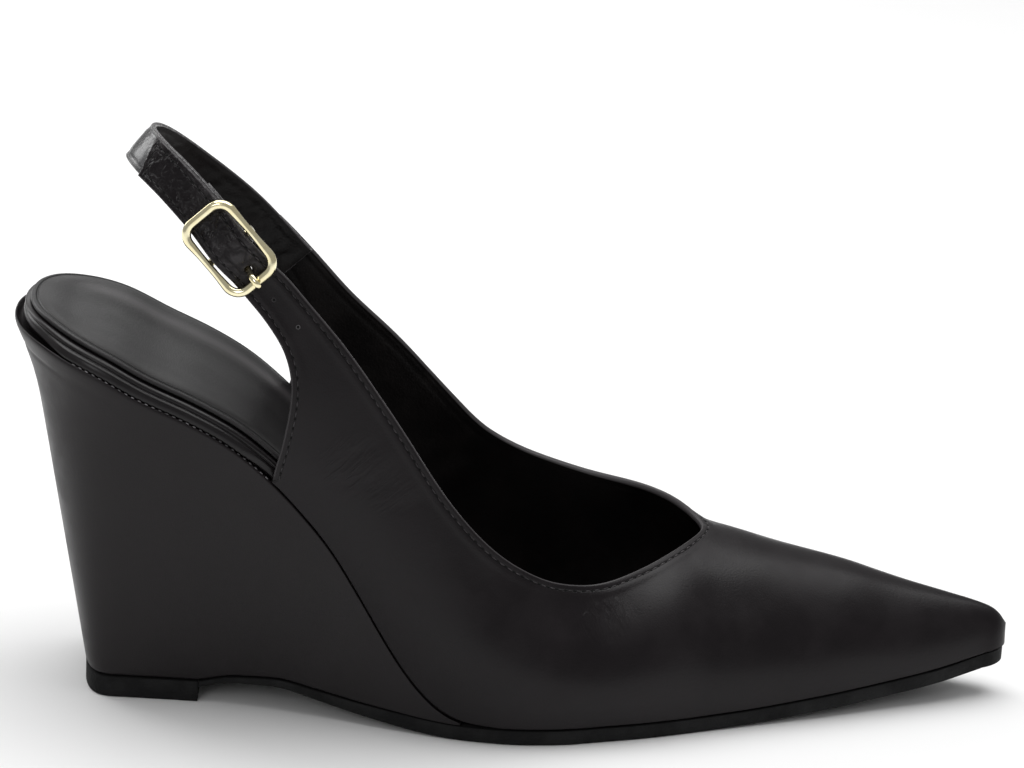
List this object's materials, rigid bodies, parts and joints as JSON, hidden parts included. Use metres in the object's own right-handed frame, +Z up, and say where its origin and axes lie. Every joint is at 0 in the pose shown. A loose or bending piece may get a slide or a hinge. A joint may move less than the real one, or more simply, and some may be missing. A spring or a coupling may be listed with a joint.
{
  "type": "wedge pump",
  "caption": "Pointed slingback pump on a high leather covered wedge, with a buckled heel strap, an open heel seat and a thin rubber sole.",
  "frame": {"origin": "centre of the shoe's bounding box, on the floor under the sole", "axes": "+X towards the toe, +Y towards the inner side of the foot, +Z up from the floor"},
  "size_m": [0.24, 0.0804, 0.1362],
  "materials": {
    "upper_leather": "smooth black calf, satin",
    "strap_leather": "glazed black leather, creased and shiny",
    "wedge_leather": "smooth black leather cover, satin",
    "welt_leather": "smooth black leather binding",
    "sock_leather": "soft dark sock leather, matt",
    "sole_rubber": "matt black rubber",
    "buckle_gold": "polished pale gold plate"
  },
  "bodies": {
    "root": {"upper": "upper_leather", "sling_strap": "strap_leather", "buckle_frame": "buckle_gold", "buckle_prong": "buckle_gold", "wedge": "wedge_leather", "insole_board": "welt_leather", "sock": "sock_leather", "outsole": "sole_rubber", "heel_tap": "sole_rubber"}
  },
  "joints": []
}
